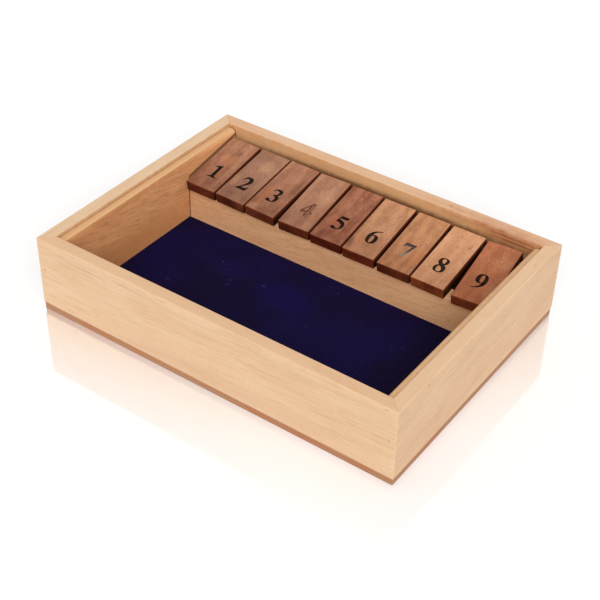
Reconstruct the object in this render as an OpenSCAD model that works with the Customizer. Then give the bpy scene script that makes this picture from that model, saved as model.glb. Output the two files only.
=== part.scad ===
// Shut the box game: an open wooden tray with nine numbered tiles that
// flip on one hidden rod along the back.
// Millimetres. The origin is at the middle of the underside, the front of
// the box faces -Y, +X is to the right and +Z is up.

/* [Box] */
// Outside length of the box, left to right
box_w = 280; // [225:1:400]
// Outside depth of the box, front to back
box_d = 202; // [150:1:300]
// Height of the four wall boards above the base panel
wall_h = 53; // [51:1:90]
// Thickness of the wall boards
wall_t = 9.5; // [7:0.5:14]
// Radius of the eased edges of the boards
board_ease = 0.7; // [0.3:0.1:1.5]

/* [Base] */
// Thickness of the base panel under the walls
base_t = 5; // [3:0.5:8]
// How far the base panel's edge stays inside the walls
base_inset = 0.4; // [0.2:0.1:2]
// Thickness of the loose board that carries the cloth
floor_t = 1.8; // [1:0.1:4]
// Thickness of the cloth on the floor board
cloth_t = 0.9; // [0.5:0.1:2]
// Gap all round the floor board
floor_gap = 0.3; // [0.2:0.1:1]

/* [Side strips] */
// Thickness of the strips inside the two end walls
strip_t = 6.2; // [4:0.1:9]
// How far the top of the strips stays below the rim
strip_drop = 3; // [1:0.5:8]
// Radius of the strips' rounded inner top edge
strip_round = 3.5; // [1:0.5:3.5]

/* [Tiles] */
// Gap between two tiles when they stand evenly along the row
tile_gap = 1.7; // [0.5:0.1:2]
// Length of one tile
tile_l = 57; // [45:0.5:80]
// Thickness of one tile
tile_t = 8.5; // [7:0.5:10]
// Gap between the left side strip and the first tile
row_gap = 0.4; // [0.3:0.1:1.5]
// Room left over between the last tile and the right side strip
row_play = 4.2; // [3:0.1:8]
// Slope of the tiles down to the front, in degrees
tile_slope = 10; // [4:1:12]
// Radius of the tiles' eased edges
tile_ease = 1; // [0.3:0.1:2]

/* [Rod] */
// Diameter of the rod
rod_d = 4; // [3:0.1:4.5]
// Gap between the rod and the bores of the tiles, all round
rod_gap = 0.1; // [0.05:0.01:0.1]
// Gap between the rod and the bores of the side strips, all round
rod_seat_gap = 0.02; // [0.01:0.01:0.1]
// Gap between each end of the rod and the wall that traps it
rod_end_gap = 0.2; // [0.1:0.1:1]
// Distance from the rod's axis to the back end of a tile
rod_to_end = 6.5; // [4:0.1:8]
// Gap between the back wall and the tiles' back corners as they swing
swing_gap = 0.6; // [0.4:0.1:3]
// Height of the rod's axis above the underside of the box
rod_z = 44.5; // [42:0.5:46]

/* [Rail] */
// Thickness of the rail that the tiles rest on
rail_t = 9.5; // [6:0.5:14]
// How far the tiles reach past the front of the rail
tile_overhang = 2; // [0.5:0.5:8]
// Gap between each end of the rail and the side strip
rail_gap = 0.2; // [0.1:0.1:1]

/* [Numerals] */
// Height of the numerals
numeral_h = 13.8; // [8:0.1:16]
// Depth of the numerals cut into the tiles
numeral_depth = 0.5; // [0.2:0.1:1]
// Distance from a tile's front end to the middle of its numeral
numeral_y = 19.4; // [12:0.1:24]

/* [Nails] */
// Diameter of the corner pins and the base brads
pin_d = 1.3; // [0.8:0.1:2]
// Diameter of the heads
pin_head_d = 2.4; // [2.1:0.1:3.5]
// Thickness of the heads
pin_head_t = 0.6; // [0.4:0.1:1]
// Length of the corner pins
pin_l = 22; // [15:1:35]
// Height of the corner pins above the base panel
pin_z = 29; // [15:1:40]
// Depth of the filler over the heads of the corner pins
filler_t = 0.8; // [0.4:0.1:1.5]
// Length of the base brads
brad_l = 19; // [12:1:25]

/* [Hidden] */
$fn = 48;
eps = 0.01;
// How the loose wooden tiles come to lie, from tile 1 to tile 9: how far
// each has slid along the rod, and how far its ends stand askew, both as
// shares of the gap between two tiles
slide_share = [0, -0.12, -0.76, -0.35, -0.41, -0.7, -0.41, -0.59, 0.53];
skew_share = [0, -0.32, -0.32, 0.56, 0.35, 0.29, 0.35, 0, 1.23];

rim_z = base_t + wall_h;
in_w = box_w - 2 * wall_t;
in_d = box_d - 2 * wall_t;
back_y = in_d / 2;
strip_x = in_w / 2 - strip_t;
tile_w = (2 * strip_x - row_gap - row_play - 8 * tile_gap) / 9;
tile_pitch = tile_w + tile_gap;
first_x = -strip_x + row_gap + tile_w / 2;
tile_skew = [for (share = skew_share) asin(share * tile_gap / (tile_l / 2))];
back_corner = [
    rod_to_end + tile_w / 2 * sin(max(tile_skew)),
    tile_t / 2
];
rod_y = back_y - norm(back_corner) - swing_gap;
reach = tile_l - rod_to_end;
rail_y = rod_y - reach * cos(tile_slope) + tile_t / 2 * sin(tile_slope)
    + tile_overhang;
floor_z = base_t + floor_t;
brad_x = box_w / 2 - 30;
brad_y = box_d / 2 - 30;

// ---------- Outlines ----------

// Rectangle about the origin with round corners.
module eased_square(w, h, r) {
    union() {
        square([w - 2 * r, h], center = true);
        square([w, h - 2 * r], center = true);
        for (x = [-1, 1])
            for (y = [-1, 1])
                translate([x * (w / 2 - r), y * (h / 2 - r)])
                    circle(r);
    }
}

// Block about the origin with every edge eased: the overlap of three
// round-cornered bars.
module eased_block(w, l, t, r) {
    intersection() {
        linear_extrude(t, center = true)
            eased_square(w, l, r);
        rotate([90, 0, 0])
            linear_extrude(l + 1, center = true)
                eased_square(w, t, r);
        rotate([90, 0, 90])
            linear_extrude(w + 1, center = true)
                eased_square(l, t, r);
    }
}

// ---------- Walls ----------

// One mitred wall board, its outer face towards -Y at y = -depth / 2.
module wall_board(len, depth) {
    half = len / 2;
    intersection() {
        translate([0, -depth / 2 + wall_t / 2, base_t + wall_h / 2])
            rotate([90, 0, 90])
                linear_extrude(len, center = true)
                    eased_square(wall_t, wall_h, board_ease);
        translate([0, 0, base_t])
            linear_extrude(wall_h)
                polygon([
                    [-half, -depth / 2],
                    [half, -depth / 2],
                    [half - wall_t, -depth / 2 + wall_t],
                    [-half + wall_t, -depth / 2 + wall_t]
                ]);
        translate([0, 0, base_t + wall_h / 2])
            linear_extrude(wall_h + 1, center = true)
                eased_square(len, depth, board_ease);
    }
}

// Holes that the base brads leave in the underside of the walls.
module brad_holes() {
    for (p = brad_places())
        translate([p[0], p[1], base_t - eps])
            cylinder(d = pin_d, h = brad_l - base_t + eps);
}

// Room for a corner pin, its head and its filler.
module pin_space() {
    cylinder(d = pin_d, h = filler_t + pin_l);
    translate([0, 0, -eps])
        cylinder(d = pin_head_d, h = filler_t + pin_head_t + eps);
}

// Puts its children at the four corner pins, with +Z going into the wood.
module at_corner_pins() {
    for (x = [-1, 1])
        for (y = [-1, 1])
            translate([
                x * (box_w / 2 - wall_t / 2),
                y * box_d / 2,
                base_t + pin_z
            ])
                rotate([y * 90, 0, 0])
                    children();
}

module front_wall() {
    color("burlywood")
        difference() {
            wall_board(box_w, box_d);
            brad_holes();
            at_corner_pins() pin_space();
        }
}

module back_wall() {
    color("burlywood")
        difference() {
            rotate([0, 0, 180])
                wall_board(box_w, box_d);
            brad_holes();
            at_corner_pins() pin_space();
        }
}

module left_wall() {
    color("wheat")
        difference() {
            rotate([0, 0, -90])
                wall_board(box_d, box_w);
            brad_holes();
            at_corner_pins() pin_space();
        }
}

module right_wall() {
    color("wheat")
        difference() {
            rotate([0, 0, 90])
                wall_board(box_d, box_w);
            brad_holes();
            at_corner_pins() pin_space();
        }
}

// ---------- Base and floor ----------

// Places of the base brads, under the middle of each wall board.
function brad_places() = [
    for (x = [-brad_x, 0, brad_x])
        for (y = [-1, 1])
            [x, y * (box_d / 2 - wall_t / 2)],
    for (x = [-1, 1])
        for (y = [-brad_y, brad_y])
            [x * (box_w / 2 - wall_t / 2), y]
];

module base_panel() {
    w = box_w - 2 * base_inset;
    d = box_d - 2 * base_inset;
    color("sienna")
        difference() {
            translate([0, 0, base_t / 2])
                linear_extrude(base_t, center = true)
                    eased_square(w, d, board_ease);
            for (p = brad_places())
                translate([p[0], p[1], 0]) {
                    translate([0, 0, -eps])
                        cylinder(d = pin_d, h = base_t + 2 * eps);
                    translate([0, 0, -eps])
                        cylinder(d = pin_head_d, h = pin_head_t + eps);
                }
        }
}

// Outline of the floor, from the front wall to the rail.
module floor_outline(gap) {
    translate([-strip_x + gap, -back_y + gap])
        square([2 * (strip_x - gap), rail_y + back_y - 2 * gap]);
}

module floor_board() {
    color("peru")
        translate([0, 0, base_t])
            linear_extrude(floor_t)
                floor_outline(floor_gap);
}

module floor_cloth() {
    color("midnightblue")
        translate([0, 0, floor_z])
            linear_extrude(cloth_t)
                floor_outline(floor_gap);
}

// ---------- Side strips, rail and rod ----------

// Section of a side strip, its flat back towards +X at x = strip_t.
module strip_section() {
    h = wall_h - strip_drop;
    union() {
        square([strip_t, h - strip_round]);
        translate([strip_round, 0])
            square([strip_t - strip_round, h]);
        intersection() {
            translate([strip_round, h - strip_round])
                circle(strip_round);
            square([strip_t, h]);
        }
    }
}

module side_strip() {
    difference() {
        translate([strip_x, 0, base_t])
            rotate([90, 0, 0])
                linear_extrude(in_d, center = true)
                    strip_section();
        translate([0, rod_y, rod_z])
            rotate([0, 90, 0])
                cylinder(r = rod_d / 2 + rod_seat_gap, h = in_w);
    }
}

module right_strip() {
    color("tan")
        side_strip();
}

module left_strip() {
    color("tan")
        mirror([1, 0, 0])
            side_strip();
}

// The rail's top is planed to the slope of the tiles that lie on it.
module tile_rail() {
    side = rod_z - tile_t / 2 / cos(tile_slope)
        - (rod_y - rail_y) * tan(tile_slope);
    rise = rail_t * tan(tile_slope);
    w = 2 * (strip_x - rail_gap);
    color("tan")
        rotate([90, 0, 90])
            linear_extrude(w, center = true)
                polygon([
                    [rail_y, base_t],
                    [rail_y + rail_t, base_t],
                    [rail_y + rail_t, side + rise],
                    [rail_y, side]
                ]);
}

module hinge_rod() {
    color("silver")
        translate([0, rod_y, rod_z])
            rotate([0, 90, 0])
                cylinder(d = rod_d, h = in_w - 2 * rod_end_gap, center = true);
}

// ---------- Nails ----------

module corner_pins() {
    color("gray")
        at_corner_pins()
            translate([0, 0, filler_t]) {
                cylinder(d = pin_d, h = pin_l);
                cylinder(d = pin_head_d, h = pin_head_t);
            }
}

module pin_filler() {
    color("rosybrown")
        at_corner_pins()
            cylinder(d = pin_head_d, h = filler_t);
}

module base_brads() {
    color("gray")
        for (p = brad_places())
            translate([p[0], p[1], 0]) {
                cylinder(d = pin_d, h = brad_l);
                cylinder(d = pin_head_d, h = pin_head_t);
            }
}

// ---------- Numerals ----------

// Outlines on a grid 66 wide and 100 high. A point is [x, y, on]: 1 lies on
// the outline, 0 pulls a curve towards it. The first loop is the outside
// and the others are holes.
function numeral(n) =
    n == 1 ? [[
        [44, 100, 1], [44, 17, 1], [44, 6, 0], [62, 5, 1], [62, 0, 1],
        [8, 0, 1], [8, 5, 1], [26, 6, 0], [26, 17, 1], [26, 73, 1],
        [26, 83, 0], [19, 83, 1], [14, 83, 0], [7, 80, 1], [5, 85, 1],
        [40, 100, 1]
    ]] :
    n == 2 ? [[
        [3, 70, 1], [9, 100, 0], [32, 100, 1], [60, 100, 0], [60, 74, 1],
        [60, 58, 0], [43, 40, 1], [23, 18, 1], [46, 18, 1], [58, 18, 0],
        [62, 30, 1], [66, 30, 1], [60, 0, 1], [2, 0, 1], [2, 4, 1],
        [40, 44, 0], [40, 70, 1], [40, 86, 0], [24, 86, 1], [12, 86, 0],
        [7, 70, 1]
    ]] :
    n == 3 ? [[
        [4, 76, 1], [10, 100, 0], [32, 100, 1], [57, 100, 0], [57, 79, 1],
        [57, 65, 0], [43, 56, 1], [62, 49, 0], [62, 31, 1], [62, 0, 0],
        [22, 0, 1], [2, 0, 0], [2, 10, 1], [2, 19, 0], [12, 19, 1],
        [18, 19, 0], [24, 12, 1], [29, 6, 0], [34, 6, 1], [44, 6, 0],
        [44, 25, 1], [44, 46, 0], [20, 47, 1], [20, 51, 1], [40, 56, 0],
        [40, 74, 1], [40, 88, 0], [26, 88, 1], [14, 88, 0], [8, 76, 1]
    ]] :
    n == 4 ? [[
        [42, 100, 1], [53, 100, 1], [53, 37, 1], [65, 37, 1], [65, 21, 1],
        [53, 21, 1], [53, 0, 1], [34, 0, 1], [34, 21, 1], [2, 21, 1],
        [2, 37, 1]
    ], [
        [34, 37, 1], [34, 78, 1], [9, 37, 1]
    ]] :
    n == 5 ? [[
        [17, 98, 1], [54, 98, 1], [60, 98, 0], [61, 100, 1], [64, 100, 1],
        [57, 80, 1], [20, 80, 1], [17, 72, 1], [62, 66, 0], [62, 34, 1],
        [62, 0, 0], [20, 0, 1], [2, 0, 0], [2, 10, 1], [2, 18, 0],
        [11, 18, 1], [18, 18, 0], [25, 12, 1], [31, 6, 0], [35, 6, 1],
        [47, 6, 0], [47, 26, 1], [47, 52, 0], [6, 55, 1]
    ]] :
    n == 6 ? [[
        [62, 100, 1], [4, 92, 0], [4, 40, 1], [4, 0, 0], [34, 0, 1],
        [63, 0, 0], [63, 33, 1], [63, 63, 0], [40, 63, 1], [31, 63, 0],
        [25, 58, 1], [29, 91, 0], [62, 96, 1]
    ], [
        [24, 52, 1], [28, 56, 0], [33, 56, 1], [44, 56, 0], [44, 30, 1],
        [44, 5, 0], [34, 5, 1], [23, 5, 0], [23, 38, 1], [23, 46, 0]
    ]] :
    n == 7 ? [[
        [6, 100, 1], [63, 100, 1], [63, 96, 1], [33, 0, 1], [19, 0, 1],
        [46, 82, 1], [22, 82, 1], [10, 82, 0], [6, 72, 1], [2, 72, 1]
    ]] :
    n == 8 ? [[
        [33, 100, 1], [58, 100, 0], [58, 78, 1], [58, 65, 0], [45, 56, 1],
        [62, 46, 0], [62, 27, 1], [62, 0, 0], [32, 0, 1], [4, 0, 0],
        [4, 24, 1], [4, 40, 0], [21, 50, 1], [6, 60, 0], [6, 76, 1],
        [6, 100, 0]
    ], [
        [32, 95, 1], [43, 95, 0], [43, 79, 1], [43, 67, 0], [37, 61, 1],
        [21, 70, 0], [21, 82, 1], [21, 95, 0]
    ], [
        [26, 45, 1], [46, 34, 0], [46, 19, 1], [46, 5, 0], [33, 5, 1],
        [18, 5, 0], [18, 25, 1], [18, 38, 0]
    ]] :
    turned(numeral(6));

// The same outlines turned half a turn, which makes a 9 of a 6.
function turned(loops) = [
    for (loop = loops)
        [for (p = loop) [66 - p[0], 100 - p[1], p[2]]]
];

// Points along one loop, with each curve cut into steps.
function loop_points(loop, steps = 4) = [
    for (i = [0:len(loop) - 1])
        let (
            p = loop[i],
            a = loop[(i + len(loop) - 1) % len(loop)],
            b = loop[(i + 1) % len(loop)]
        )
        for (k = p[2] == 1 ? [0] : [1:steps - 1])
            p[2] == 1
                ? [p[0], p[1]]
                : curve_point([a[0], a[1]], [p[0], p[1]], [b[0], b[1]],
                    k / steps)
];

// Quadratic curve from a to b, pulled towards p.
function curve_point(a, p, b, t) =
    pow(1 - t, 2) * a + 2 * t * (1 - t) * p + t * t * b;

// One numeral about the origin, numeral_h high.
module numeral_outline(n) {
    loops = [for (loop = numeral(n)) loop_points(loop)];
    scale(numeral_h / 100)
        translate([-33, -50])
            difference() {
                polygon(loops[0]);
                if (len(loops) > 1)
                    polygon(loops[1]);
                if (len(loops) > 2)
                    polygon(loops[2]);
            }
}

// ---------- Tiles ----------

// A tile with its bore along X at the origin, lying flat, front to -Y.
module tile_body(n) {
    skew = tile_skew[n - 1];
    middle = rod_to_end - tile_l / 2;
    difference() {
        translate([0, middle, 0])
            rotate([0, 0, skew]) {
                difference() {
                    eased_block(tile_w, tile_l, tile_t, tile_ease);
                    translate([
                        0,
                        numeral_y - tile_l / 2,
                        tile_t / 2 - numeral_depth
                    ])
                        linear_extrude(numeral_depth + 1)
                            numeral_outline(n);
                }
            }
        rotate([0, 90, 0])
            cylinder(r = rod_d / 2 + rod_gap, h = 2 * tile_w, center = true);
    }
}

module tile(n) {
    x = first_x + (n - 1) * tile_pitch + slide_share[n - 1] * tile_gap;
    color("rosybrown")
        translate([x, rod_y, rod_z])
            rotate([tile_slope, 0, 0])
                tile_body(n);
}

base_panel();
front_wall();
back_wall();
left_wall();
right_wall();
left_strip();
right_strip();
floor_board();
floor_cloth();
tile_rail();
hinge_rod();
corner_pins();
pin_filler();
base_brads();
tile(1);  // tile_1
tile(2);  // tile_2
tile(3);  // tile_3
tile(4);  // tile_4
tile(5);  // tile_5
tile(6);  // tile_6
tile(7);  // tile_7
tile(8);  // tile_8
tile(9);  // tile_9
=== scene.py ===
# %% [markdown]
# # A shut the box game
#
# The game is an open tray of pale beech. Nine numbered rosewood tiles lie at
# its back and flip up on one hidden steel rod, and dice are thrown on the
# velvet in front of them. This notebook builds its looks around a frame of
# plain solids: each new piece stands for a solid and rides on the same body.

# %% Load the frame
import math
from functools import partialmethod

import bmesh
import bpy
import numpy as np
from mathutils import Matrix


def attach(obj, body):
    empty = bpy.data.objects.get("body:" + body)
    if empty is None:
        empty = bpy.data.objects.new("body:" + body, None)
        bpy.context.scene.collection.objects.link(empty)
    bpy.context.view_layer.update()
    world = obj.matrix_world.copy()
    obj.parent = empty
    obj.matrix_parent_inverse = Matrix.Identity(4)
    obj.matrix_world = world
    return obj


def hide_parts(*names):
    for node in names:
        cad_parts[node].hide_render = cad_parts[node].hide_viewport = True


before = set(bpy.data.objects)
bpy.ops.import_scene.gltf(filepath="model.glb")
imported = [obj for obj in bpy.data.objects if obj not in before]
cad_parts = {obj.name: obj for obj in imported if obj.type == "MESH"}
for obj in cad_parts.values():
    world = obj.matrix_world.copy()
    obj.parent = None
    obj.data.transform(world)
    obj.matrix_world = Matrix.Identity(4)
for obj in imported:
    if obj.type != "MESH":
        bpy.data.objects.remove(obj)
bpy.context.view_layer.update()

# %% [markdown]
# ## Sizes
#
# A maker works from a short list of sizes. Lengths are in millimetres and
# become metres only when a mesh is made. The origin is at the middle of the
# underside, and the front faces -Y.

# %% Sizes of the box, in millimetres
BOX_W, BOX_D = 280.0, 202.0
WALL_H, WALL_T, BOARD_EASE = 53.0, 9.5, 0.8
BASE_T, BASE_INSET, BASE_EASE = 5.0, 0.4, 0.35
FLOOR_T, CLOTH_T, FLOOR_GAP = 1.8, 0.9, 0.3
STRIP_T, STRIP_DROP, STRIP_ROUND, STRIP_GLUE = 6.2, 3.0, 3.5, 0.02
RIM_Z = BASE_T + WALL_H
INNER_W, INNER_D = BOX_W - 2 * WALL_T, BOX_D - 2 * WALL_T
SIDE_X, BACK_Y = INNER_W / 2, INNER_D / 2
STRIP_X, STRIP_TOP_Z = SIDE_X - STRIP_T, RIM_Z - STRIP_DROP
PIN_HEAD_R, PIN_R, FILLER_T, HEAD_T, PIN_L, PIN_Z, BRAD_L = (1.2, 0.65, 0.8, 0.6, 22.0, 29.0, 19.0)
BRAD_X, BRAD_Y = (-110, 0, 110), (-71, 71)
print("tray inside, in mm:", 2 * STRIP_X, "by", INNER_D)

# %% Sizes of the tiles and the rod, in millimetres
TILE_L, TILE_T, TILE_EASE, TILE_GAP = 57.0, 8.5, 1.0, 1.7
FIRST_GAP, LAST_GAP, BACK_GAP = 0.4, 4.2, 0.6
TILE_W = (2 * STRIP_X - FIRST_GAP - LAST_GAP - 8 * TILE_GAP) / 9
TILE_SLOPE = math.radians(10)
ROD_R, BORE_R, ROD_TO_END, ROD_Z, ROD_SEAT = 2.0, 2.1, 6.5, 44.5, 0.02
TILE_SLIDE = np.array([0, -0.12, -0.76, -0.35, -0.41, -0.7, -0.41, -0.59, 0.53])
TILE_SKEW = np.array([0, -0.32, -0.32, 0.56, 0.35, 0.29, 0.35, 0, 1.23])
SKEW = np.arcsin(TILE_SKEW * TILE_GAP / (TILE_L / 2))
TILE_X = (-STRIP_X + FIRST_GAP + TILE_W / 2 + np.arange(9) * (TILE_W + TILE_GAP)
          + TILE_SLIDE * TILE_GAP)
ROD_Y = BACK_Y - BACK_GAP - math.hypot(ROD_TO_END + TILE_W / 2 * math.sin(SKEW.max()), TILE_T / 2)
RAIL_T, RAIL_LIP, RAIL_GAP = 9.5, 2.0, 0.2
RAIL_Y = (ROD_Y - (TILE_L - ROD_TO_END) * math.cos(TILE_SLOPE)
          + TILE_T / 2 * math.sin(TILE_SLOPE) + RAIL_LIP)
print("tile width", round(TILE_W, 2), "rod at y", round(ROD_Y, 2), "rail at y", round(RAIL_Y, 2))

# %% [markdown]
# ## The camera
#
# A product picture of a flat box is taken from above one corner, with a long
# lens that keeps the far edges nearly parallel to the near ones. The camera is
# held by its three axes: right, up and back.


# %% Camera
def new_object(name, data):
    """An object in the scene that shows the given data."""
    made = bpy.data.objects.new(name, data)
    bpy.context.scene.collection.objects.link(made)
    return made


SENSOR_MM, FOCAL_PX, IMAGE_PX = 36.0, 1291.7, 600
CAMERA_AT = (0.39412, -0.56577, 0.55003)
CAMERA_RIGHT = np.array([0.81274, 0.58233, 0.01852])
CAMERA_UP = np.array([-0.37149, 0.49347, 0.78644])
camera_data = bpy.data.cameras.new("camera")
camera_data.sensor_width = SENSOR_MM
camera_data.lens = FOCAL_PX / IMAGE_PX * SENSOR_MM
camera_data.clip_end = 20
camera = new_object("camera", camera_data)
axes = [CAMERA_RIGHT, CAMERA_UP, np.cross(CAMERA_RIGHT, CAMERA_UP), CAMERA_AT]
camera.matrix_world = Matrix([*np.stack(axes, 1).tolist(), (0, 0, 0, 1)])
bpy.context.scene.camera = camera
print("camera lens, in mm:", round(camera_data.lens, 1))

# %% [markdown]
# ## Tools for surfaces
#
# Every piece is a grid of points worked out with numpy, and a grid becomes a
# mesh when each point is joined to its neighbours. Blender could also extrude
# and bevel these shapes, but a formula can be read again and changed.

# %% Grids and meshes
SMOOTH_DEG = 35


def grid_points(*coordinates):
    """Coordinates that fit one grid become its points."""
    return np.stack(np.broadcast_arrays(*coordinates), -1)


def rotated(x, y, angle):
    """Turns points: (x cos a - y sin a, x sin a + y cos a)."""
    c, s = np.cos(angle), np.sin(angle)
    return c * x - s * y, s * x + c * y


def grid_faces(rows, columns, close_rows=False, close_columns=False):
    """Quads between the neighbours of a grid numbered row by row. A closed way
    wraps round."""
    row = np.arange(rows if close_rows else rows - 1)
    column = np.arange(columns if close_columns else columns - 1)
    a, b = np.meshgrid(row, column, indexing="ij")
    c, d = (a + 1) % rows, (b + 1) % columns
    quads = [i * columns + j for i, j in ((a, b), (a, d), (c, d), (c, b))]
    return np.stack(quads, -1).reshape(-1, 4).tolist()


def capped_faces(rows, columns):
    """Faces of a bar: quads round its rings, and a face at each end."""
    last = (rows - 1) * columns
    return grid_faces(rows, columns, close_columns=True) + [
        list(range(columns)), list(range(last, last + columns))]


def make_piece(name, points_mm, faces, material, smooth_deg=SMOOTH_DEG):
    """Points in millimetres and faces become an object. Its faces are turned
    outwards and its sharp edges are marked by angle."""
    mesh = bpy.data.meshes.new(name)
    mesh.from_pydata((np.reshape(points_mm, (-1, 3)) / 1000).tolist(), [], faces)
    solid = bmesh.new()
    solid.from_mesh(mesh)
    bmesh.ops.recalc_face_normals(solid, faces=solid.faces)
    solid.to_mesh(mesh)
    solid.free()
    mesh.shade_smooth()
    mesh.set_sharp_from_angle(angle=math.radians(smooth_deg))
    mesh.materials.append(material)
    return new_object(name, mesh)


def settle(piece, body, slot, *nodes):
    """The piece rides on a body and stands for the named solids of the frame, which are hidden. The
    slot is not used."""
    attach(piece, body)
    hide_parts(*nodes)
    print(piece.name, len(piece.data.polygons), "faces on", body)
    return piece


print("helpers for grids are ready")

# %% [markdown]
# A board is its cross-section carried along a straight line. Extra points just
# beside each rounded corner keep the shading of the flat faces flat. Each point
# also knows how close it is to an edge, so that finishes can lighten worn edges.

# %% A rounded section
EDGE_HOLD, EDGE_FADE = 0.4, 1.2


def rounded_section(corners, radii, steps=5, spacing=5.0):
    """A polygon's outline with round corners. Each arc touches both sides at
    radius / tan(half the angle) from the corner, and straight runs are filled.
    Returns the points and how close each is to an edge, from 0 to 1."""
    corners = np.array(corners, float) @ (1, 1j)
    outline, closeness, arcs = [], [], []
    for corner, a, b, radius in zip(corners, np.roll(corners, 1), np.roll(corners, -1), radii):
        u, v = ((w - corner) / abs(w - corner) for w in (a, b))
        half = abs(np.angle(v / u)) / 2
        centre = corner + (u + v) / abs(u + v) * radius / math.sin(half)
        first, last = (corner + w * radius / math.tan(half) - centre for w in (u, v))
        turn = np.linspace(0, np.angle(last / first), steps + 1)
        arcs.append(centre + first * np.exp(1j * turn))
    for arc, following in zip(arcs, arcs[1:] + arcs[:1]):
        run = following[0] - arc[-1]
        length = abs(run)
        hold = min(EDGE_HOLD, length / 3)
        count = max(2, int((length - 2 * hold) / spacing) + 1)
        inner = np.linspace(hold, length - hold, count)
        outline += [arc, arc[-1] + inner / length * run]
        closeness += [np.ones(len(arc)), np.exp(-np.minimum(inner, length - inner) / EDGE_FADE)]
    outline = np.concatenate(outline)
    return grid_points(outline.real, outline.imag), np.concatenate(closeness)


def stations(half, near, margin, count):
    """Places from -half to half: some near both ends, and the rest even."""
    middle = np.linspace(margin - half, half - margin, max(2, count))
    near = half - np.asarray(near)
    return np.concatenate([-near, middle, near[::-1]])


def bar_stations(half):
    """Places along a bar. Its surface turns or wears near the ends."""
    return stations(half, [0, 0.15, 0.4, 0.8, 1.6], 4, int(2 * half / 6))


print("sections are ready")

# %% [markdown]
# A Boolean modifier is the plain way to drill a hole for a nail or a rod. The
# drilled mesh is read back, so that no live Boolean is left. Drilling makes new
# points, and each takes its edge value from the nearest old one.

# %% Drilling and edge values
CHUNK = 500


def lathe(start, end, profile, sides=32):
    """A closed surface turned about the line from start to end. The profile is
    (distance, radius) pairs, and each ring is
    start + distance * axis + radius * (cos a across + sin a up)."""
    axis = np.subtract(end, start) / math.dist(start, end)
    across = np.cross(axis, [0, 0, 1.0] if abs(axis[2]) < 0.9 else [1.0, 0, 0])
    across /= np.linalg.norm(across)
    a = np.linspace(0, 2 * np.pi, sides, endpoint=False)[:, None]
    ring = np.cos(a) * across + np.sin(a) * np.cross(axis, across)
    distance, radius = np.transpose(profile)[:, :, None, None]
    points = np.asarray(start) + distance * axis + radius * ring
    return points.reshape(-1, 3), capped_faces(len(profile), sides)


def drill(piece, holes):
    """Cuts holes (start, end, profile) out of the piece. The manifold solver
    is used, because the exact one can turn a board inside out."""
    points, faces = np.empty((0, 3)), []
    for hole in holes:
        more, its_faces = lathe(*hole)
        faces += [[i + len(points) for i in face] for face in its_faces]
        points = np.concatenate([points, more])
    cutter = make_piece("cutter", points, faces, piece.data.materials[0])
    boolean = piece.modifiers.new("drill", "BOOLEAN")
    boolean.object, boolean.operation, boolean.solver = cutter, "DIFFERENCE", "MANIFOLD"
    bpy.context.view_layer.update()
    evaluated = piece.evaluated_get(bpy.context.evaluated_depsgraph_get())
    drilled = bpy.data.meshes.new_from_object(evaluated)
    piece.modifiers.clear()
    piece.data = drilled
    drilled.shade_smooth()
    drilled.set_sharp_from_angle(angle=math.radians(SMOOTH_DEG))
    bpy.data.objects.remove(cutter)


def store(piece, name, values):
    """Keeps one number per point as an attribute of that name."""
    attribute = piece.data.attributes.new(name, "FLOAT", "POINT")
    attribute.data.foreach_set("value", np.ravel(values).astype(np.float32))


def bar(name, points, material, closeness=None, holes=()):
    """A piece from rings of points, with an end face on each side. It is
    drilled, and each point gets the edge value of the nearest ring point."""
    piece = make_piece(name, points, capped_faces(*points.shape[:2]), material)
    if holes:
        drill(piece, holes)
    if closeness is not None:
        known = np.broadcast_to(closeness, points.shape[:2]).ravel()
        places = np.zeros(len(piece.data.vertices) * 3)
        piece.data.vertices.foreach_get("co", places)
        places = places.reshape(-1, 1, 3) * 1000
        ring = points.reshape(1, -1, 3)
        nearest = [((places[i:i + CHUNK] - ring) ** 2).sum(2).argmin(1)
                   for i in range(0, len(places), CHUNK)]
        store(piece, "edge", known[np.concatenate(nearest)])
    return piece


print("drilling is ready")

# %% [markdown]
# ## Tools for finishes
#
# A finish is a small network of nodes. A wire stands for one output of a node,
# and sums, products and ramps of wires add the nodes that work them out. What
# all wood needs is built once as node groups, which only put out values; each
# material mixes its own colours from them.


# %% Wires and nodes
class Wire:
    """One output of a node, which can be used in arithmetic."""

    def __init__(self, socket):
        self.socket, self.tree = socket, socket.id_data

    def step(self, operation, *values):
        """One Math node that starts with this wire."""
        return add_node("Math", [self, *values], operation=operation)

    __add__ = partialmethod(step, "ADD")
    __sub__ = partialmethod(step, "SUBTRACT")
    __mul__ = partialmethod(step, "MULTIPLY")
    __truediv__ = partialmethod(step, "DIVIDE")
    __abs__ = partialmethod(step, "ABSOLUTE")

    def __rsub__(self, other):
        return add_node("Math", [other, self], operation="SUBTRACT")

    def ramp(self, low, high, to_low=0.0, to_high=1.0, kind="SMOOTHSTEP"):
        """Moves the value from one range to another, softly or in a line."""
        return add_node("MapRange", [self, low, high, to_low, to_high], interpolation_type=kind)


def add_node(kind, inputs=(), out=0, tree=None, **settings):
    """Adds a node to the tree of its first wire and returns one of its outputs.
    Inputs are given in order, or by name in a dict: a wire is linked, and
    anything else is set."""
    pairs = list(inputs.items() if isinstance(inputs, dict) else enumerate(inputs))
    tree = tree or next(value.tree for _, value in pairs if isinstance(value, Wire))
    node = tree.nodes.new("ShaderNode" + kind)
    for key, value in settings.items():
        setattr(node, key, value)
    for key, value in pairs:
        if isinstance(value, Wire):
            tree.links.new(value.socket, node.inputs[key])
        else:
            node.inputs[key].default_value = value
    return Wire(node.outputs[out])


def vector_math(operation, *values, out=0):
    """One step of arithmetic on vectors."""
    return add_node("VectorMath", values, out, operation=operation)


def part(vector, axis):
    """The X, Y or Z of a vector."""
    return add_node("SeparateXYZ", [vector], "XYZ".index(axis))


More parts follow.
